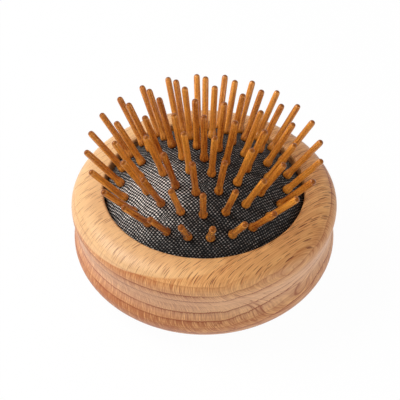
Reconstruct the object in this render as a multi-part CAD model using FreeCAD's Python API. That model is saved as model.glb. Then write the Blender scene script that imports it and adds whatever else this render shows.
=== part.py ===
import FreeCAD, Part
import math
import os

os.makedirs("parts", exist_ok=True)

# A palm-held brush. A turned beech case holds a cloth-faced air cushion full of wooden pins.
# The cushion turns inside out: popped up it is a dome with the pins standing on it, and pressed in
# it is a bowl with the pins inside the case. A button behind its crown pops it up again.
# Millimetres, +Z up. The origin is the middle of the flat foot. Modelled popped up.

# Turned case, outside
case_height = 32.0
rim_radius = 42.5
rim_drop = 6.0
cove_depth = 1.4
belly_radius = 42.4
foot_radius = 29.5
foot_width = 4.0
foot_recess = 0.8
cove_height_share = 0.58
belly_height_share = 0.38
shoulder_fullness_share = 0.53
cove_fullness_share = 0.45
belly_fullness_share = 0.46

# Turned case, inside
lip_radius = 32.0
lip_depth = 5.0
lip_round = 0.9
crest_width = 1.3
groove_depth = 3.4
groove_height = 2.6
cavity_undercut = 2.2
floor_thickness = 4.6
thumb_radius = 19.0
thumb_round = 1.6

# Air cushion: one laminate of rubber sheet and cloth, its bead tucked into the case's groove
cushion_sheet = 1.2
cushion_rise = 13.5
cushion_edge_drop = 2.7
lip_gap = 0.5
edge_play = 0.1
vent_radius = 1.35
vent_angles = (270.0, 238.0)
vent_radius_shares = (0.33, 0.72)

# Pins, in rings about a middle one, square to the dome
pin_radius = 1.05
pin_length = 18.0
bulb_radius = 1.45
bulb_collar = 0.7
bulb_length = 2.4
head_radius = 1.8
head_thickness = 0.9
socket_depth = 1.7
pin_play = 0.08
pin_sides = 9
hole_sides = 6
tip_ring_angles = (38.0, 68.0)
spoke_angle = 49.3
ring_counts = (6, 12, 18, 24)
ring_radius_shares = (0.214, 0.422, 0.632, 0.825)

# Crown: disc with a boss behind the cushion, and the pop button screwed to the boss
disc_thickness = 2.4
disc_margin = 1.8
boss_radius = 4.6
boss_length = 4.02
button_gap = 2.0
button_thickness = 6.0
button_round = 1.4
button_dish = 1.2
dish_margin = 2.4
screw_radius = 1.3
screw_head_radius = 2.7
screw_head_land = 0.3
screw_bite = 3.6
screw_slot_width = 0.7
screw_slot_depth = 0.6
screw_play = 0.05
overrun = 1.0

# Places that follow from the sizes above
full_turn = 360.0
up = FreeCAD.Vector(0, 0, 1)
middle = FreeCAD.Vector(0, 0, 0)
cushion_radius = lip_radius - lip_gap
cushion_edge_height = case_height - cushion_edge_drop
dome_radius = (cushion_radius ** 2 + cushion_rise ** 2) / (2 * cushion_rise)
dome_centre_height = cushion_edge_height + cushion_rise - dome_radius
crown_height = dome_centre_height + dome_radius
groove_top = case_height - lip_depth
groove_bottom = groove_top - groove_height
groove_radius = lip_radius + groove_depth
floor_top = foot_recess + floor_thickness
ring_radii = [share * cushion_radius for share in ring_radius_shares]
disc_radius = ring_radii[0] + disc_margin
disc_bottom = crown_height - cushion_sheet - pin_play - disc_thickness
button_top = disc_bottom - boss_length
button_bottom = button_top - button_thickness
button_radius = thumb_radius - button_gap
screw_face = button_bottom + button_dish


def at(radius, height):
    return FreeCAD.Vector(radius, 0, height)


def line(start, end):
    return Part.LineSegment(start, end).toShape()


def curve(*poles):
    bezier = Part.BezierCurve()
    bezier.setPoles(list(poles))
    return bezier.toShape()


def round_corner(start, corner, end):
    """Arc of a quarter turn from start to end, bulging towards the corner."""
    centre = start + end - corner
    bulge = (corner - centre).normalize() * (start - centre).Length
    return Part.Arc(start, centre + bulge, end).toShape()


def dome_arc(radius, start_radius, end_radius):
    """Arc of a sphere about the dome's centre, between two distances from the axis."""
    def on_sphere(distance):
        return at(distance, dome_centre_height + math.sqrt(radius ** 2 - distance ** 2))
    between = (start_radius + end_radius) / 2
    return Part.Arc(on_sphere(start_radius), on_sphere(between), on_sphere(end_radius)).toShape()


def polyline(*points):
    return [line(start, end) for start, end in zip(points, points[1:])]


def turned(edges):
    """Solid of revolution about Z from a closed outline in the XZ plane."""
    face = Part.Face(Part.Wire(edges))
    solid = face.revolve(middle, up, full_turn).Solids[0]
    if solid.Volume < 0:
        solid.reverse()
    return solid


def prism_ring(radius, height, sides):
    """Corners of a level regular polygon about Z."""
    corners = []
    for index in range(sides):
        angle = 2 * math.pi * index / sides
        corners.append(FreeCAD.Vector(radius * math.cos(angle), radius * math.sin(angle), height))
    return corners


def faceted(rings):
    """Closed solid of flat faces through level polygons with equal numbers of corners."""
    faces = [Part.Face(Part.makePolygon(ring + ring[:1])) for ring in (rings[0], rings[-1])]
    for low, high in zip(rings, rings[1:]):
        for index in range(len(low)):
            corners = [low[index - 1], low[index], high[index], high[index - 1], low[index - 1]]
            faces.append(Part.Face(Part.makePolygon(corners)))
    solid = Part.Solid(Part.Shell(faces))
    if solid.Volume < 0:
        solid.reverse()
    return solid


def turned_body():
    """Case: shoulder, shallow cove, belly and foot outside, and the cushion's groove inside."""
    rim = at(rim_radius, case_height - rim_drop)
    crest = at(lip_radius + lip_round + crest_width, case_height)
    cove = at(rim_radius - cove_depth, case_height * cove_height_share)
    belly = at(belly_radius, case_height * belly_height_share)
    foot = at(foot_radius, 0)

    def quarter(start, corner, end, fullness):
        return curve(start, start + (corner - start) * fullness, end + (corner - end) * fullness, end)

    def ogee(start, end):
        drop = up * ((end.z - start.z) * cove_fullness_share)
        return curve(start, start + drop, end - drop, end)

    outside = [
        quarter(crest, at(rim.x, crest.z), rim, shoulder_fullness_share),
        ogee(rim, cove),
        ogee(cove, belly),
        quarter(belly, at(belly.x, 0), foot, belly_fullness_share),
    ]
    recess_radius = foot_radius - foot_width
    thumb_low = [at(thumb_radius + thumb_round, foot_recess), at(thumb_radius, foot_recess)]
    thumb_low.append(thumb_low[1] + up * thumb_round)
    cavity_radius = lip_radius + cavity_undercut
    lip = [at(lip_radius, case_height - lip_round), at(lip_radius, case_height)]
    lip.append(at(lip_radius + lip_round, case_height))
    inside = polyline(foot, at(recess_radius, 0), at(recess_radius, foot_recess), thumb_low[0])
    inside.append(round_corner(*thumb_low))
    inside += polyline(
        thumb_low[2],
        at(thumb_radius, floor_top),
        at(cavity_radius, floor_top),
        at(cavity_radius, groove_bottom),
        at(groove_radius, groove_bottom),
        at(groove_radius, groove_top),
        at(lip_radius, groove_top),
        lip[0],
    )
    inside.append(round_corner(*lip))
    inside.append(line(lip[2], crest))
    return turned(outside + inside)


def pin_places():
    """Azimuth and distance from the axis of every pin, ring by ring, the middle pin first."""
    rings = [[(0, 0)]]
    for count, radius in zip(ring_counts, ring_radii):
        rings.append([(spoke_angle + full_turn * index / count, radius) for index in range(count)])
    return rings


def stand_on_dome(shape, azimuth, radius):
    """Move a shape made about Z from the origin to its place on the dome, square to the surface."""
    tilt = math.degrees(math.asin(radius / dome_radius))
    turn = FreeCAD.Rotation(up, azimuth) * FreeCAD.Rotation(FreeCAD.Vector(0, 1, 0), tilt)
    foot = FreeCAD.Vector(0, 0, dome_centre_height) + turn.multVec(up * dome_radius)
    placed = shape.copy()
    placed.Placement = FreeCAD.Placement(foot, turn)
    return placed


def pin_hole(bottom):
    """Punched hole that a pin's root passes through, hidden under its bulb, down to the given level."""
    corner_radius = (pin_radius + pin_play) / math.cos(math.pi / hole_sides)
    levels = (bottom, overrun)
    return faceted([prism_ring(corner_radius, level, hole_sides) for level in levels])


def air_cushion():
    """Dome and skirt of even sheet with a bead round its edge, pierced for the pins and by two vents."""
    inner_dome = dome_radius - cushion_sheet
    inner_radius = cushion_radius - cushion_sheet
    inner_edge = dome_centre_height + math.sqrt(inner_dome ** 2 - inner_radius ** 2)
    bead_top = groove_top - edge_play
    bead_bottom = groove_bottom + edge_play
    bead_radius = groove_radius - edge_play
    skirt = polyline(
        at(cushion_radius, cushion_edge_height),
        at(cushion_radius, bead_top),
        at(bead_radius, bead_top),
        at(bead_radius, bead_bottom),
        at(inner_radius, bead_bottom),
        at(inner_radius, inner_edge),
    )
    outline = [dome_arc(dome_radius, 0, cushion_radius)] + skirt
    outline.append(dome_arc(inner_dome, inner_radius, 0))
    outline.append(line(at(0, crown_height - cushion_sheet), at(0, crown_height)))
    sheet = turned(outline)

    depth = cushion_sheet + overrun
    punch = pin_hole(-depth)
    holes = [stand_on_dome(punch, *place) for ring in pin_places() for place in ring]
    drill = Part.makeCylinder(vent_radius, depth + overrun, up * -depth)
    for azimuth, share in zip(vent_angles, vent_radius_shares):
        holes.append(stand_on_dome(drill, azimuth, share * cushion_radius))
    return sheet.cut(holes).Solids[0]


def pin(root_outline):
    """One pin about Z: the given root, a bulb at its foot, a straight shaft and a round tip."""
    shaft_end = pin_length - pin_radius
    outline = root_outline + [
        (pin_radius, pin_play),
        (bulb_radius, pin_play),
        (bulb_radius, pin_play + bulb_collar),
        (pin_radius, pin_play + bulb_length),
        (pin_radius, shaft_end),
    ]
    for angle in tip_ring_angles:
        slope = math.radians(angle)
        outline.append((pin_radius * math.cos(slope), shaft_end + pin_radius * math.sin(slope)))
    return faceted([prism_ring(radius, height, pin_sides) for radius, height in outline])


def headed_pin():
    """Pin of the flexing part of the cushion, kept in the sheet by a head behind it."""
    head_top = -cushion_sheet - pin_play
    head_bottom = head_top - head_thickness
    return pin([(head_radius, head_bottom), (head_radius, head_top), (pin_radius, head_top)])


def crown_pin():
    """Pin of the crown, whose straight root is glued into the disc."""
    return pin([(pin_radius, -cushion_sheet - pin_play - socket_depth)])


def screw_form(play, head_run):
    """Countersunk screw about the axis, grown by the play and with its head run on downwards."""
    seat = screw_face + screw_head_land
    neck = seat + screw_head_radius - screw_radius
    end = button_top + screw_bite + play
    return turned(polyline(
        at(0, screw_face - head_run),
        at(screw_head_radius + play, screw_face - head_run),
        at(screw_head_radius + play, seat),
        at(screw_radius + play, neck),
        at(screw_radius + play, end),
        at(0, end),
        at(0, screw_face - head_run),
    ))


def backing_disc():
    """Disc that fits the hollow side of the crown, with the pins' sockets and the button's boss."""
    top_radius = dome_radius - cushion_sheet - pin_play
    rim_top = dome_centre_height + math.sqrt(top_radius ** 2 - disc_radius ** 2)
    outline = polyline(
        at(0, button_top),
        at(boss_radius, button_top),
        at(boss_radius, disc_bottom),
        at(disc_radius, disc_bottom),
        at(disc_radius, rim_top),
    )
    outline.append(dome_arc(top_radius, disc_radius, 0))
    outline.append(line(at(0, dome_centre_height + top_radius), at(0, button_top)))
    socket_bottom = -cushion_sheet - socket_depth - 2 * pin_play
    socket = pin_hole(socket_bottom)
    places = [place for ring in pin_places()[:2] for place in ring]
    sockets = [stand_on_dome(socket, *place) for place in places]
    return turned(outline).cut(sockets + [screw_form(screw_play, overrun)]).Solids[0]


def pop_button():
    """Thumb button: a turned disc, dished below for the thumb, with a countersunk screw hole."""
    low = [at(button_radius - button_round, button_bottom), at(button_radius, button_bottom)]
    low.append(low[1] + up * button_round)
    high = [at(button_radius, button_top - button_round), at(button_radius, button_top)]
    high.append(at(button_radius - button_round, button_top))
    outline = [line(at(0, button_bottom), low[0]), round_corner(*low), line(low[2], high[0])]
    outline += [round_corner(*high)] + polyline(high[2], at(0, button_top), at(0, button_bottom))
    dish_radius = button_radius - dish_margin
    ball_radius = (dish_radius ** 2 + button_dish ** 2) / (2 * button_dish)
    ball = Part.makeSphere(ball_radius, at(0, button_bottom + button_dish - ball_radius))
    return turned(outline).cut([ball, screw_form(screw_play, overrun)]).Solids[0]


def button_screw():
    """Slotted countersunk screw that holds the button to the boss."""
    length = 2 * (screw_head_radius + overrun)
    corner = FreeCAD.Vector(-length / 2, -screw_slot_width / 2, screw_face - overrun)
    slot = Part.makeBox(length, screw_slot_width, screw_slot_depth + overrun, corner)
    return screw_form(0, 0).cut(slot).Solids[0]


def save(name, *solids):
    shape = solids[0] if len(solids) == 1 else Part.makeCompound(list(solids))
    shape.exportStep("parts/" + name + ".step")


def save_pins():
    """The crown's pins are one rigid set. Every other pin moves by itself as the cushion folds."""
    middle_ring, first_ring, second_ring, third_ring, outer_ring = pin_places()
    crown = crown_pin()
    save("crown_pins", *[stand_on_dome(crown, *place) for place in middle_ring + first_ring])
    headed = headed_pin()
    flexing = {"second_ring_pin": second_ring, "third_ring_pin": third_ring, "outer_ring_pin": outer_ring}
    for name, ring in flexing.items():
        for index, place in enumerate(ring):
            save(f"{name}_{index + 1:02d}", stand_on_dome(headed, *place))


save("turned_body", turned_body())
save("air_cushion", air_cushion())
save("backing_disc", backing_disc())
save("pop_button", pop_button())
save("button_screw", button_screw())
save_pins()
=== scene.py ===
import math
import random

import bmesh
import bpy
from mathutils import Matrix, Vector


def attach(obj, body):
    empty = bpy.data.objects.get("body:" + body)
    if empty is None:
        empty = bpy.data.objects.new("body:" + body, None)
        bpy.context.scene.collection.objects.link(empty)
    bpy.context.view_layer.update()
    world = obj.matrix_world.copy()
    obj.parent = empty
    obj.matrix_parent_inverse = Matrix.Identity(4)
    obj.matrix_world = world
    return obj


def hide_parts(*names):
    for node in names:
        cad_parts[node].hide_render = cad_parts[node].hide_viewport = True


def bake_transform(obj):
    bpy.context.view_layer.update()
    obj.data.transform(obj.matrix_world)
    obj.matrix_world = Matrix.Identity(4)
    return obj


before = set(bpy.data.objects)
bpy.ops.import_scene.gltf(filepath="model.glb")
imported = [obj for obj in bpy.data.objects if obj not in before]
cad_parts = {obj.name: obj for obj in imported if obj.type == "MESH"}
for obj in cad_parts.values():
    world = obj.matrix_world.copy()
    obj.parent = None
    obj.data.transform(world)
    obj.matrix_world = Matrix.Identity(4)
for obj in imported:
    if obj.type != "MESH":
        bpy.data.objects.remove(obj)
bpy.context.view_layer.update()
scene = bpy.context.scene
scene.view_settings.view_transform = "Standard"
mm = 0.001
print("frame loaded,", len(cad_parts), "nodes")


class Wire:
    # one output socket of a node tree; sums on it add Math nodes
    def __init__(self, tree, socket=None):
        self.tree = tree
        self.socket = socket

    def node(self, kind, sockets=None, settings=None, out=0):
        made = self.tree.nodes.new("ShaderNode" + kind)
        for name, value in (settings or {}).items():
            setattr(made, name, value)
        for name, value in (sockets or {}).items():
            if isinstance(value, Wire):
                self.tree.links.new(value.socket, made.inputs[name])
            else:
                made.inputs[name].default_value = value
        return Wire(self.tree, made.outputs[out] if made.outputs else None)

    def out(self, name):
        return Wire(self.tree, self.socket.node.outputs[name])

    def math(self, operation, *values):
        return self.node("Math", dict(enumerate(values)), {"operation": operation})

    def __add__(self, other):
        return self.math("ADD", self, other)

    def __sub__(self, other):
        return self.math("SUBTRACT", self, other)

    def __rsub__(self, other):
        return self.math("SUBTRACT", other, self)

    def __mul__(self, other):
        return self.math("MULTIPLY", self, other)

    def __pow__(self, other):
        return self.math("POWER", self, other)

    __radd__ = __add__
    __rmul__ = __mul__

    def rise(self, low, high):  # 0 below low, 1 above high
        sockets = {"Value": self, "From Min": low, "From Max": high}
        return self.node("MapRange", sockets, {"interpolation_type": "SMOOTHSTEP"})

    def mixed(self, first, second):  # this value is the share of second
        return self.node("Mix", {0: self, 6: first, 7: second}, {"data_type": "RGBA"}, 2)

    def vector(self, operation, other):
        return self.node("VectorMath", {0: self, 1: other}, {"operation": operation})

    def noise(self, size, detail=2.0):  # this is a place; size is a blotch's length three ways
        scaled = self.vector("DIVIDE", size)
        return self.node("TexNoise", {"Vector": scaled, "Scale": 1.0, "Detail": detail})


def colour(code):  # six hex digits as seen on screen, to a linear colour
    parts = [int(code[i:i + 2], 16) / 255 for i in (0, 2, 4)]
    return [p / 12.92 if p < 0.04045 else ((p + 0.055) / 1.055) ** 2.4 for p in parts] + [1]


def newPaint(name):
    material = bpy.data.materials.new(name)
    material.use_nodes = True
    material.node_tree.nodes.clear()
    return material, Wire(material.node_tree)


def coatWith(paint, sockets):
    shader = paint.node("BsdfPrincipled", sockets)
    paint.node("OutputMaterial", {"Surface": shader})


# Camera: where the photograph was taken from
view = {"elevation": 42.42, "distance": 410, "aimHeight": 32, "lens": 116, "sensor": 36, "nearest": 0.01,
        "rightPixels": 4.1, "upPixels": 14.7, "focalPixels": 1289}


def makeCamera():
    tilt = math.radians(view["elevation"])
    right = Vector((1, 0, 0))
    up = Vector((0, math.sin(tilt), math.cos(tilt)))
    back = Vector((0, -math.cos(tilt), math.sin(tilt)))
    aim = -back - (right * view["rightPixels"] + up * view["upPixels"]) / view["focalPixels"]
    data = bpy.data.cameras.new("photoCamera")
    data.lens = view["lens"]
    data.sensor_width = view["sensor"]
    data.clip_start = view["nearest"]
    camera = bpy.data.objects.new("photoCamera", data)
    camera.location = (Vector((0, 0, view["aimHeight"])) + back * view["distance"]) * mm
    camera.rotation_euler = aim.to_track_quat("-Z", "Y").to_euler()
    scene.collection.objects.link(camera)
    scene.camera = camera


makeCamera()
print("camera set")

# Beech: nearly level growth rings, and rays that fan out below a pith high above the top.
# Lengths are in millimetres. A size is along, across and up, and a pair is where a change starts
# and where it ends.
caseBeech = {
    "fibreAzimuth": 42, "shift": (0, 0, 0), "pith": 110, "rayLevel": 16, "hairSize": (9, 0.21, 3.0),
    "ringSpacing": 2.9, "ringShift": 0.034, "ringJump": 0.4, "ringsEnd": (30.0, 30.7),
    "sway": 1.3, "swaySize": (50, 24, 30), "whorl": 1.4, "whorlSize": (6, 12, 4.5),
    "riseFrom": 6, "riseSlope": 0.2, "highlightFrom": 31.0, "highlightEdge": 0.35, "highlightTilt": 0.11,
    "fadeSize": (16, 12, 5), "cloudSize": (38, 16, 9), "arcSize": (34, 1.5, 26), "arcWidth": 0.018,
    "dashShape": (0.43, 0.14, 0.5), "dashEdge": (0.75, 1.0), "dashesFrom": (28, 30),
    # cell size of each set of dashes, its strength, and the share of its cells that stay empty
    "dashSets": (((5.4, 0.9, 3.2), 1.0, 0.28), ((4.0, 0.65, 2.8), 0.75, 0.45)),
    "flatFrom": (24, 38), "flatTop": (24, 29), "topFrom": (26.5, 30.5), "topLift": 3,
    "topLiftFrom": (0, 35), "leftTo": (-32, 18), "rightFrom": (8, 36), "bellyTo": (12, 19),
    "pinkSheenTo": (21, 31),
    "baseTone": 0.12, "brownTone": 0.1, "cloudTone": 0.2, "ringTone": 0.2, "leftShadeTone": 0.42,
    "rightShadeTone": 0.15, "bellyTone": 0.27,
    "creamHighlight": "D8B68A", "pale": "F8BE7A", "warm": "B4672E", "pinkSheen": "E6BC9C",
    "line": "8A2E00", "lineShare": 0.95, "fleck": "662000", "fleckShare": 0.95,
    "roughness": 0.43, "coat": 0.12, "coatRoughness": 0.32, "shine": 0.25, "relief": 0.00004}
buttonBeech = {**caseBeech, "fibreAzimuth": 20, "shift": (9, 31, 4), "whorl": 0.0, "riseSlope": 0.0,
               "pale": "E2A566", "warm": "BC763E"}


def beechPaint(name, look):
    material, paint = newPaint(name)
    place = paint.node("TexCoord", out="Object")
    sideways = paint.node("SeparateXYZ", {0: place}) * (1 / mm)
    turn = (0, 0, math.radians(-look["fibreAzimuth"]))
    sockets = {"Vector": place, "Rotation": turn, "Scale": (1 / mm,) * 3, "Location": look["shift"]}
    place = paint.node("Mapping", sockets)
    along = paint.node("SeparateXYZ", {0: place})
    across, height = along.out("Y"), along.out("Z")
    drop = look["pith"] - height
    ray = across * drop.math("DIVIDE", look["pith"] - look["rayLevel"], drop)
    rays = paint.node("CombineXYZ", {0: along, 1: ray, 2: height})

    # growth rings: they waver, rise a little to the right and jump at the rays
    hair = (rays.noise(look["hairSize"], 1.0) - 0.5) * 2
    sway = place.noise(look["swaySize"]) - 0.5
    flatSide = (across * -1).rise(*look["flatFrom"])
    whorl = (place.noise(look["whorlSize"], 1.5) - 0.5) * flatSide
    climb = sideways.math("MAXIMUM", sideways - look["riseFrom"], 0.0) * look["riseSlope"]
    level = height + sway * look["sway"] + whorl * look["whorl"] - climb + hair * look["ringJump"]
    turns = level * (1 / look["ringSpacing"]) + look["ringShift"]
    phase = turns.math("FRACT", turns)
    ring = turns.math("FLOOR", turns)
    strong = ring.math("FLOORED_MODULO", ring, 3.0).rise(0, 1) * 0.8 + 0.2  # every third ring is faint
    thin = turns.math("FRACT", turns * 3)
    lined = 1 - height.rise(*look["ringsEnd"]) * 0.9
    # painted highlight: a cream band over the top on the left, partly the wood's own pale tone, with a
    # crisp lower edge
    highlightEnd = look["highlightFrom"] + look["highlightEdge"]
    outsideHighlight = 1 - (level - sideways * look["highlightTilt"]).rise(look["highlightFrom"], highlightEnd) * 0.92
    fade = place.noise(look["fadeSize"]).rise(0.15, 0.5)
    fade = fade * (1 - flatSide * height.rise(*look["flatTop"]) * 0.7)
    late = (phase ** 6 * strong * fade + thin ** 4 * 0.16) * lined

    # rays: short dark dashes on top, upright hairs on the sides, long arcs where the side runs along them
    lift = sideways.rise(*look["topLiftFrom"]) * look["topLift"]
    onTop = (height + lift).rise(*look["topFrom"]) * 0.9 + 0.1
    left = 1 - sideways.rise(*look["leftTo"])
    dashes = 0.0
    for size, strength, empty in look["dashSets"]:
        scaled = rays.vector("DIVIDE", size)
        cells = paint.node("TexVoronoi", {"Vector": scaled, "Scale": 1.0})
        slim = scaled.vector("SUBTRACT", cells.out("Position")).vector("DIVIDE", look["dashShape"])
        away = paint.node("VectorMath", {0: slim}, {"operation": "LENGTH"}, "Value")
        kept = paint.node("SeparateColor", {0: cells.out("Color")}).rise(empty, empty + 0.16)
        dash = (1 - away.rise(*look["dashEdge"])) * kept * strength
        dashes = dash.math("MAXIMUM", dash, dashes)
    lowFlat = flatSide * (1 - height.rise(*look["dashesFrom"]))
    dashes = dashes * onTop * (1 - left * 0.3) * (1 - lowFlat)
    wave = rays.noise(look["arcSize"], 1.0) - 0.5
    arcs = (1 - wave.math("ABSOLUTE", wave).rise(0.0, look["arcWidth"])) * lined * fade
    arcs = arcs * (flatSide * 0.58 + 0.08)
    thread = hair.rise(0.2, 0.6) * (1 - onTop) * 0.4
    late = late.math("MAXIMUM", late, thread.math("MAXIMUM", thread, arcs))

    # colour: pale to warm by tone, with painted shade on the left and on the top's right, a painted cream
    # highlight at the top left, a painted pink sheen below, then the lines and the dashes
    cloud = place.noise(look["cloudSize"]).rise(0.3, 0.72)
    aboveBelly = height.rise(*look["bellyTo"])
    hairShare = (1.5 - onTop * 0.55) * (1 - flatSide * 0.35)
    # painted shade: the wood is deeper in tone on the left, below the painted highlight, to damp the lamp's
    # light there
    deeper = phase * look["ringTone"] * lined + left * look["leftShadeTone"] + look["brownTone"]
    tone = cloud * look["cloudTone"] + deeper * outsideHighlight + hair * hairShare + look["baseTone"]
    # partly painted shade: the top grows darker and warmer to the right, away from the lamp, and partly the
    # wood's own deeper tone
    tone = tone + sideways.rise(*look["rightFrom"]) * onTop * look["rightShadeTone"]
    tone = tone + (1 - aboveBelly) * look["bellyTone"]
    wood = tone.mixed(colour(look["pale"]), colour(look["warm"]))
    # painted highlight: cream, partly pale wood, mixed in at the top left
    wood = (left * (1 - outsideHighlight) * 0.6).mixed(wood, colour(look["creamHighlight"]))
    # painted sheen: paler pink on the cove and lower side, partly the wood's own pinker tone and partly
    # painted light from below
    pinkSheen = (1 - height.rise(*look["pinkSheenTo"])) * (aboveBelly * 0.45 + 0.12 - left * 0.1)
    wood = pinkSheen.mixed(wood, colour(look["pinkSheen"]))
    wood = (late * look["lineShare"]).mixed(wood, colour(look["line"]))
    wood = (dashes * look["fleckShare"]).mixed(wood, colour(look["fleck"]))
    sockets = {"Height": hair * 0.5 - dashes - late, "Distance": look["relief"], "Strength": 0.6}
    bump = paint.node("Bump", sockets)
    coatWith(paint, {
        "Base Color": wood, "Roughness": look["roughness"] + dashes * 0.15 + hair * 0.1, "Normal": bump,
        "Specular IOR Level": look["shine"], "Coat Weight": look["coat"],
        "Coat Roughness": look["coatRoughness"]})
    return material


# Pins: heat-darkened wood under a thin gloss, end grain darker at the tip, and painted shade at the foot
# where it meets the cloth
pinWood = {"pale": "F4A440", "deep": "883400", "end": "6A2A04", "glint": "FFB878",
           "streakSize": (0.5, 0.5, 9), "poreSize": (0.16, 0.16, 1.6), "mottleSize": (0.4, 0.4, 0.6),
           "streakTone": 1.6, "mottleTone": 0.9, "tipFrom": (17.15, 17.75), "footShadeTo": (0.1, 1.6),
           "tipShare": 0.8, "footShadeShare": 0.3, "poreShare": 0.4,
           "roughness": 0.14, "coat": 0.5, "coatRoughness": 0.05, "shine": 0.5, "relief": 0.00003}


def pinPaint(name, look):
    material, paint = newPaint(name)
    place = paint.node("Attribute", settings={"attribute_name": "pinPlace"}, out="Vector")
    tone = paint.node("Attribute", settings={"attribute_name": "pinTone"}, out="Fac")
    height = paint.node("SeparateXYZ", {0: place}).out("Z")
    streak = place.noise(look["streakSize"], 3.0)
    pore = place.noise(look["poreSize"], 1.0).rise(0.6, 0.72)
    mottle = place.noise(look["mottleSize"], 1.0) - 0.5
    share = (streak - 0.5) * look["streakTone"] + mottle * look["mottleTone"] + tone
    wood = share.mixed(colour(look["pale"]), colour(look["deep"]))
    tip = height.rise(*look["tipFrom"])
    # painted shade: the foot is darkened as a contact shadow where the pin meets the cloth
    foot = 1 - height.rise(*look["footShadeTo"])
    end = tip * look["tipShare"] + foot * look["footShadeShare"] + pore * look["poreShare"]
    wood = end.mixed(wood, colour(look["end"]))
    sockets = {"Height": streak - pore * 0.5, "Distance": look["relief"], "Strength": 0.35}
    bump = paint.node("Bump", sockets)
    coatWith(paint, {
        "Base Color": wood, "Roughness": look["roughness"] + streak * 0.12, "Normal": bump,
        "Specular IOR Level": look["shine"], "Specular Tint": colour(look["glint"]),
        "Coat Weight": (1 - tip) * look["coat"], "Coat Roughness": look["coatRoughness"]})
    return material


# Cushion cloth: coarse plain weave of a shiny black yarn, with painted glints on the yarns, brightest in a
# painted sheen on the left
clothLook = {"yarnAzimuth": 85, "pitch": 0.61, "waver": 1.8, "waverSize": (7, 7, 7),
             "archAcross": 3.8, "archAlong": 2.4, "weftSunk": 0.8,
             "patchSize": (5, 5, 5), "fuzzSize": (0.7, 0.7, 0.7),
             "sheenAt": (-18, -11, 0), "sheenTo": (3, 23), "sheenFade": 0.74,
             "gap": "010101", "yarn": "0A0A0B", "wearAndSheen": "FCF5EE",
             "roughness": 0.28, "shine": 0.2, "relief": 0.00026}


def clothPaint(name, look):
    material, paint = newPaint(name)
    place = paint.node("Attribute", settings={"attribute_name": "clothPlace"}, out="Vector")
    turn = (0, 0, math.radians(-look["yarnAzimuth"]))
    waver = place.noise(look["waverSize"], 1.0).out("Color").vector("SUBTRACT", (0.5,) * 3)
    wavy = place.vector("ADD", waver.vector("MULTIPLY", (look["waver"],) * 3))
    sockets = {"Vector": wavy, "Rotation": turn, "Scale": (1 / look["pitch"],) * 3}
    yarns = paint.node("Mapping", sockets)

    # one crossing of two yarns: which is over, and how high its arch stands
    warpLine = paint.node("SeparateXYZ", {0: yarns})
    weftLine = warpLine.out("Y")
    warp = warpLine.math("FLOOR", warpLine)
    weft = weftLine.math("FLOOR", weftLine)
    weftOver = warp.math("FLOORED_MODULO", warp + weft, 2.0)
    glint = paint.node("TexWhiteNoise", {"Vector": paint.node("CombineXYZ", {0: warp, 1: weft})})
    u = warpLine.math("FRACT", warpLine) - 0.5
    v = weftLine.math("FRACT", weftLine) - 0.5
    across = u + (v - u) * weftOver
    along = v + (u - v) * weftOver
    arch = (1 - across * across * look["archAcross"]) * (1 - along * along * look["archAlong"])
    uneven = place.noise(look["patchSize"]) * 0.5 + place.noise(look["fuzzSize"], 1.0) * 0.5

    # the yarns of one set stand proud, and their crossings get painted glints as rows of dots
    proud = arch * (1 - weftOver * look["weftSunk"])
    # painted shade: the crevices between the yarns' arches are darker than the yarn
    cloth = arch.rise(0.15, 0.75).mixed(colour(look["gap"]), colour(look["yarn"]))
    # painted sheen: the glints are brightest round a point on the left, where the lamp's reflection falls,
    # and fade away from it
    ends = {0: place, 1: look["sheenAt"]}
    spread = paint.node("VectorMath", ends, {"operation": "DISTANCE"}, "Value")
    apart = spread.rise(*look["sheenTo"])
    top = (proud - apart * 0.2).rise(0.2, 0.54)
    sparkle = glint * (apart * 0.6 + 0.6) + 0.65 - apart * 0.45
    sheenPatch = (1 - apart * look["sheenFade"]) * sparkle
    cloth = (uneven.rise(0.12, 0.45) * top * sheenPatch).mixed(cloth, colour(look["wearAndSheen"]))
    sockets = {"Height": proud + uneven * 0.15, "Distance": look["relief"], "Strength": 1.0}
    bump = paint.node("Bump", sockets)
    coatWith(paint, {
        "Base Color": cloth, "Roughness": look["roughness"] + (1 - top) * 0.5, "Normal": bump,
        "Specular IOR Level": look["shine"]})
    return material


# Small parts behind the cushion
discLook = {"base": "2A2A2C", "wearAndSheen": "3B3B3E", "grainSize": 0.4, "wearSize": 3, "roughness": 0.45,
            "relief": 0.00003}
screwLook = {"base": "B9BABB", "dull": "8B8C8E", "brushSize": (4, 0.12, 0.5), "roughness": 0.3,
             "relief": 0.00001}


def discPaint(name, look):
    material, paint = newPaint(name)
    place = paint.node("TexCoord", out="Object")
    grain = place.noise((look["grainSize"] * mm,) * 3)
    wear = place.noise((look["wearSize"] * mm,) * 3).rise(0.4, 0.7)
    plastic = wear.mixed(colour(look["base"]), colour(look["wearAndSheen"]))
    bump = paint.node("Bump", {"Height": grain, "Distance": look["relief"], "Strength": 0.5})
    coatWith(paint, {"Base Color": plastic, "Roughness": look["roughness"] + grain * 0.15, "Normal": bump})
    return material


def screwPaint(name, look):
    material, paint = newPaint(name)
    place = paint.node("TexCoord", out="Object")
    brushed = place.noise([length * mm for length in look["brushSize"]])
    steel = brushed.rise(0.35, 0.7).mixed(colour(look["base"]), colour(look["dull"]))
    bump = paint.node("Bump", {"Height": brushed, "Distance": look["relief"], "Strength": 0.4})
    coatWith(paint, {
        "Base Color": steel, "Metallic": 1.0, "Roughness": look["roughness"] + brushed * 0.15,
        "Normal": bump})
    return material


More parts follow.
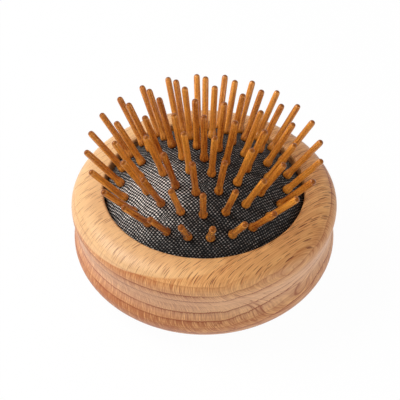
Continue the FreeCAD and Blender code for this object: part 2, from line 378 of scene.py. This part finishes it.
paints = {
    "turned_body": beechPaint("caseBeech", caseBeech),
    "pop_button": beechPaint("buttonBeech", buttonBeech),
    "backing_disc": discPaint("discPlastic", discLook),
    "button_screw": screwPaint("screwSteel", screwLook),
}
for node, material in paints.items():
    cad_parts[node].material_slots[0].material = material
pinMaterial = pinPaint("pinWood", pinWood)
clothMaterial = clothPaint("cushionCloth", clothLook)
print("materials made")

# Dome of the cushion, and where the pins stand on it, in millimetres as in the part
dome = {"radius": 43.5, "centreHeight": -0.7, "edgeRadius": 31.5, "edgeHeight": 29.3, "crownHeight": 41.816}
pinRings = {"spoke": 49.3, "counts": (1, 6, 12, 18, 24), "radii": (0, 6.741, 13.293, 19.908, 25.988)}
domeCentre = Vector((0, 0, dome["centreHeight"]))
weldGap = 0.0005
sharpAngle = math.radians(50)  # edges that turn more than this stay crisp


def standOnDome(azimuth, radius):  # matrix from a pin's own place to the part's frame, in millimetres
    tilt = math.asin(radius / dome["radius"])
    turn = Matrix.Rotation(math.radians(azimuth), 4, "Z") @ Matrix.Rotation(tilt, 4, "Y")
    lift = Matrix.Translation((0, 0, dome["radius"]))
    return Matrix.Translation(domeCentre) @ turn @ lift


def onDome(azimuth, radius):
    return standOnDome(azimuth, radius) @ Vector((0, 0, 0))


def pinPlaces(ring):
    count = pinRings["counts"][ring]
    return [(pinRings["spoke"] + 360 * i / count, pinRings["radii"][ring]) for i in range(count)]


def spinRound(shape, steps):  # turns an outline round the upright axis
    bmesh.ops.spin(shape, geom=shape.verts[:] + shape.edges[:], cent=(0, 0, 0), axis=(0, 0, 1),
                   angle=math.tau, steps=steps, use_merge=True)
    bmesh.ops.remove_doubles(shape, verts=shape.verts, dist=weldGap)
    bmesh.ops.recalc_face_normals(shape, faces=shape.faces)


def faceUp(shape):
    if sum(f.normal.z for f in shape.faces) < 0:
        bmesh.ops.reverse_faces(shape, faces=shape.faces)


def placeShape(name, shape):
    mesh = bpy.data.meshes.new(name)
    shape.to_mesh(mesh)
    shape.free()
    placed = bpy.data.objects.new(name, mesh)
    scene.collection.objects.link(placed)
    return placed


def finishPiece(name, shape, material):
    piece = placeShape(name, shape)
    piece.data.materials.append(material)
    piece.data.shade_smooth()
    piece.data.set_sharp_from_angle(angle=sharpAngle)
    return piece


# Pins: a root below the cloth, then the bulb and the tip; outlines are radius and height in millimetres
pinLook = {"sides": 20, "leanDegrees": 0.7, "lengthSpread": 0.25, "stretchFrom": 4, "length": 18,
           "tone": 0.45, "toneSpread": 0.2, "seed": 11,
           "head": [(0, -2.18), (1.6, -2.18), (1.8, -2.0), (1.8, -1.36), (1.72, -1.28), (1.05, -1.28)],
           "socketed": [(0, -2.98), (1.0, -2.98), (1.05, -2.9)],
           "bulb": [(1.05, 0.08), (1.28, 0.12), (1.4, 0.3), (1.45, 0.6), (1.45, 0.95), (1.4, 1.4),
                    (1.28, 1.95), (1.15, 2.5), (1.07, 3.0), (1.05, 3.5)],
           "tip": [(1.05, 9.0), (1.04, 16.6), (1.0, 17.1), (0.9, 17.45), (0.72, 17.72), (0.45, 17.9),
                   (0.2, 17.98), (0, 18.0)],
           "foldingRings": {2: ("secondRingPin", "second_ring_pin"), 3: ("thirdRingPin", "third_ring_pin"),
                            4: ("outerRingPin", "outer_ring_pin")}}
chance = random.Random(pinLook["seed"])


def turnPin(root, azimuth, radius):
    shape = bmesh.new()
    outline = [shape.verts.new((r, 0, z)) for r, z in root + pinLook["bulb"] + pinLook["tip"]]
    for low, high in zip(outline, outline[1:]):
        shape.edges.new((low, high))
    spinRound(shape, pinLook["sides"])
    placeLayer = shape.verts.layers.float_vector.new("pinPlace")
    toneLayer = shape.verts.layers.float.new("pinTone")
    offset = Vector((chance.uniform(0, 90), chance.uniform(0, 90), 0))
    tone = pinLook["tone"] + chance.uniform(-1, 1) * pinLook["toneSpread"]
    longer = chance.uniform(-1, 0) * pinLook["lengthSpread"]
    lean = math.radians(pinLook["leanDegrees"]) * chance.uniform(0.2, 1)
    bearing = Vector((1, 0, 0))
    bearing.rotate(Matrix.Rotation(chance.uniform(0, math.tau), 3, "Z"))
    stretched = pinLook["length"] - pinLook["stretchFrom"]
    for vert in shape.verts:
        vert[placeLayer] = vert.co + offset
        vert[toneLayer] = tone
        vert.co.z += longer * max(vert.co.z - pinLook["stretchFrom"], 0) / stretched
    bmesh.ops.rotate(shape, verts=shape.verts, cent=(0, 0, 0), matrix=Matrix.Rotation(lean, 3, bearing))
    place = Matrix.Scale(mm, 4) @ standOnDome(azimuth, radius)
    bmesh.ops.transform(shape, matrix=place, verts=shape.verts)
    return shape


def makePins():
    crownShape = bmesh.new()
    for azimuth, radius in pinPlaces(0) + pinPlaces(1):
        shape = turnPin(pinLook["socketed"], azimuth, radius)
        spare = bpy.data.meshes.new("spare")
        shape.to_mesh(spare)
        shape.free()
        crownShape.from_mesh(spare)
        bpy.data.meshes.remove(spare)
    crown = finishPiece("crownRingPins", crownShape, pinMaterial)
    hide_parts("crown_pins")
    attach(crown, "crown")
    for ring, (pinName, nodeName) in pinLook["foldingRings"].items():
        for index, (azimuth, radius) in enumerate(pinPlaces(ring), 1):
            shape = turnPin(pinLook["head"], azimuth, radius)
            pin = finishPiece(f"{pinName}.{index:02d}", shape, pinMaterial)
            node = f"{nodeName}_{index:02d}"
            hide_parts(node)
            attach(pin, node)


makePins()
print("pins turned")

# Cushion: one taut sheet over the air, drawn in a little at every pin
cushionLook = {"around": 216, "arcSteps": 56, "skirtFoot": 26.9, "edgeRound": 0.7, "roundSteps": 4,
               "sheet": 1.2, "dip": 0.22, "dipWidth": 1.9,
               "pinHole": 1.13, "ventHole": 1.35, "holeReach": 1.05,
               "vents": ((270, 10.395), (238, 22.68)), "fineReach": 3.4, "fineCuts": 2}
beadLook = {"outer": 35.3, "inner": 30.3, "top": 26.9, "bottom": 24.5, "round": 0.5, "roundSteps": 3,
            "around": 144}


def pierce(shape, centre, radius):
    # takes out a round hole: the corners inside go, and the ring left round them is drawn to the circle
    inside = [v for v in shape.verts if (v.co - centre).length < radius * cushionLook["holeReach"]]
    if not inside:
        return
    rim = {v for i in inside for f in i.link_faces for v in f.verts} - set(inside)
    bmesh.ops.delete(shape, geom=inside, context="VERTS")
    normal = (centre - domeCentre).normalized()
    for vert in rim:
        flat = vert.co - centre
        flat -= normal * flat.dot(normal)
        vert.co = centre + flat.normalized() * radius


def spreadCloth(shape):
    # notes on every corner where it lies on the cloth before that is stretched over the dome
    placeLayer = shape.verts.layers.float_vector.new("clothPlace")
    for vert in shape.verts:
        flat = Vector((vert.co.x, vert.co.y, 0))
        run = dome["radius"] * math.asin(min(flat.length, dome["edgeRadius"]) / dome["radius"])
        run += max(dome["edgeHeight"] - vert.co.z, 0)
        vert[placeLayer] = flat.normalized() * run


def makeCushion():
    shape = bmesh.new()
    crown = shape.verts.new((0, 0, dome["centreHeight"] + dome["radius"]))
    slope = math.asin(dome["edgeRadius"] / dome["radius"])
    bmesh.ops.spin(shape, geom=[crown], cent=domeCentre, axis=(0, 1, 0), angle=slope,
                   steps=cushionLook["arcSteps"], use_duplicate=False)
    edge = max(shape.verts, key=lambda v: v.co.x)
    foot = bmesh.ops.extrude_vert_indiv(shape, verts=[edge])["verts"][0]
    foot.co = Vector((dome["edgeRadius"], 0, cushionLook["skirtFoot"]))
    bmesh.ops.bevel(shape, geom=[edge], offset=cushionLook["edgeRound"], affect="VERTICES",
                    segments=cushionLook["roundSteps"], profile=0.5, material=-1)
    spinRound(shape, cushionLook["around"])
    faceUp(shape)

    # finer faces round the vents, which show
    vents = [onDome(*place) for place in cushionLook["vents"]]
    for centre in vents:
        reach = cushionLook["fineReach"]
        near = [e for e in shape.edges if all((v.co - centre).length < reach for v in e.verts)]
        bmesh.ops.subdivide_edges(shape, edges=near, cuts=cushionLook["fineCuts"], use_grid_fill=True)

    # dips and holes
    rings = range(len(pinRings["counts"]))
    pins = [onDome(*place) for ring in rings for place in pinPlaces(ring)]
    for vert in shape.verts:
        if vert.co.z < dome["edgeHeight"]:
            continue
        near = min((vert.co - centre).length for centre in pins)
        dip = cushionLook["dip"] * math.exp(-(near / cushionLook["dipWidth"]) ** 2)
        vert.co -= (vert.co - domeCentre).normalized() * dip
    for centre in pins:
        pierce(shape, centre, cushionLook["pinHole"])
    for centre in vents:
        pierce(shape, centre, cushionLook["ventHole"])

    spreadCloth(shape)
    bmesh.ops.scale(shape, vec=(mm,) * 3, verts=shape.verts)
    cushion = finishPiece("cushionCloth", shape, clothMaterial)
    wall = cushion.modifiers.new("sheet", "SOLIDIFY")
    wall.thickness = cushionLook["sheet"] * mm
    wall.offset = -1
    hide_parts("air_cushion")
    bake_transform(cushion)


def makeBead():
    shape = bmesh.new()
    corners = [(beadLook["inner"], beadLook["bottom"]), (beadLook["outer"], beadLook["bottom"]),
               (beadLook["outer"], beadLook["top"]), (beadLook["inner"], beadLook["top"])]
    outline = [shape.verts.new((r, 0, z)) for r, z in corners]
    for start, end in zip(outline, outline[1:] + outline[:1]):
        shape.edges.new((start, end))
    bmesh.ops.bevel(shape, geom=outline, offset=beadLook["round"], affect="VERTICES",
                    segments=beadLook["roundSteps"], profile=0.5, material=-1)
    spinRound(shape, beadLook["around"])
    spreadCloth(shape)
    bmesh.ops.scale(shape, vec=(mm,) * 3, verts=shape.verts)
    bead = finishPiece("cushionBead", shape, clothMaterial)
    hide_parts("air_cushion")
    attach(bead, "case")


# Discs of a finer mesh close the two vents just under the cloth
ventMesh = {**clothLook, "pitch": 0.36}
padLook = {"radius": 1.33, "sides": 32, "top": -0.2, "bottom": -1.1, "under": 0.7, "round": 0.12,
           "roundSteps": 2}


def makePads():
    shape = bmesh.new()
    wide = padLook["radius"]
    tall = padLook["top"] - padLook["bottom"]
    middle = Matrix.Translation((0, 0, padLook["bottom"] + tall / 2))
    for vent in cushionLook["vents"]:
        bmesh.ops.create_cone(shape, cap_ends=True, segments=padLook["sides"], radius1=wide, radius2=wide,
                              depth=tall, matrix=standOnDome(*vent) @ middle)
    ends = [e for f in shape.faces if len(f.verts) > 4 for e in f.edges]
    bmesh.ops.bevel(shape, geom=ends, offset=padLook["round"], affect="EDGES",
                    segments=padLook["roundSteps"], profile=0.5, material=-1)
    spreadCloth(shape)
    bmesh.ops.scale(shape, vec=(mm,) * 3, verts=shape.verts)
    pads = finishPiece("ventPads", shape, clothPaint("ventMesh", ventMesh))
    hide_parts("air_cushion")
    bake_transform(pads)


makeCushion()
makeBead()
makePads()
print("cushion stretched")

# Studio: a white floor and sky for the camera, a large soft lamp on the left and weak fill elsewhere
studio = {"floorRadius": 2.0, "floorHole": 0.027, "floorLevel": -0.00002, "floorSides": 96,
          "floorGrey": 0.9, "shadowShare": 0.025, "sky": 0.3, "aim": (0, 0, 0.03),
          "lamps": {"key": {"place": (-0.4, 0.04, 0.52), "size": (0.34, 0.34), "power": 3.8},
                    "window": {"place": (-0.5, -0.13, 0.11), "size": (0.35, 0.18), "power": 0.42},
                    "fill": {"place": (0.5, -0.3, 0.1), "size": (0.25, 0.3), "power": 1.0}}}


def seenDirectly(paint):  # 1 for a ray from the camera, a shiny surface or glass
    rays = paint.node("LightPath")
    seen = rays.out("Is Camera Ray")
    for kind in ("Is Glossy Ray", "Is Transmission Ray"):
        seen = seen.math("MAXIMUM", seen, rays.out(kind))
    return seen


def makeFloor():
    # a wide ring, open under the foot and clear from below, so that the underside can be seen
    shape = bmesh.new()
    shape.edges.new([shape.verts.new((studio[end], 0, studio["floorLevel"]))
                     for end in ("floorHole", "floorRadius")])
    spinRound(shape, studio["floorSides"])
    faceUp(shape)
    floor = placeShape("floor", shape)
    material, paint = newPaint("whiteFloor")
    seen = seenDirectly(paint)
    matt = paint.node("BsdfDiffuse", {"Color": (studio["floorGrey"],) * 3 + (1,)})
    white = paint.node("Emission", {"Color": (1, 1, 1, 1), "Strength": 1.0})
    shown = paint.node("MixShader", {0: seen * (1 - studio["shadowShare"]), 1: matt, 2: white})
    clear = paint.node("BsdfTransparent")
    below = paint.node("NewGeometry", out="Backfacing")
    paint.node("OutputMaterial", {"Surface": paint.node("MixShader", {0: below, 1: shown, 2: clear})})
    floor.data.materials.append(material)


def makeSky():
    world = bpy.data.worlds.new("studioSky")
    scene.world = world
    world.use_nodes = True
    world.node_tree.nodes.clear()
    paint = Wire(world.node_tree)
    level = studio["sky"] + seenDirectly(paint) * (1 - studio["sky"])
    sky = paint.node("Background", {"Color": (1, 1, 1, 1), "Strength": level})
    paint.node("OutputWorld", {"Surface": sky})


def makeLamp(name, look):
    data = bpy.data.lights.new(name, "AREA")
    data.shape = "RECTANGLE"
    data.size, data.size_y = look["size"]
    data.energy = look["power"]
    lamp = bpy.data.objects.new(name, data)
    lamp.location = look["place"]
    aim = Vector(studio["aim"]) - lamp.location
    lamp.rotation_euler = aim.to_track_quat("-Z", "Y").to_euler()
    scene.collection.objects.link(lamp)


makeFloor()
makeSky()
for name, look in studio["lamps"].items():
    makeLamp(name, look)
print("studio lit")
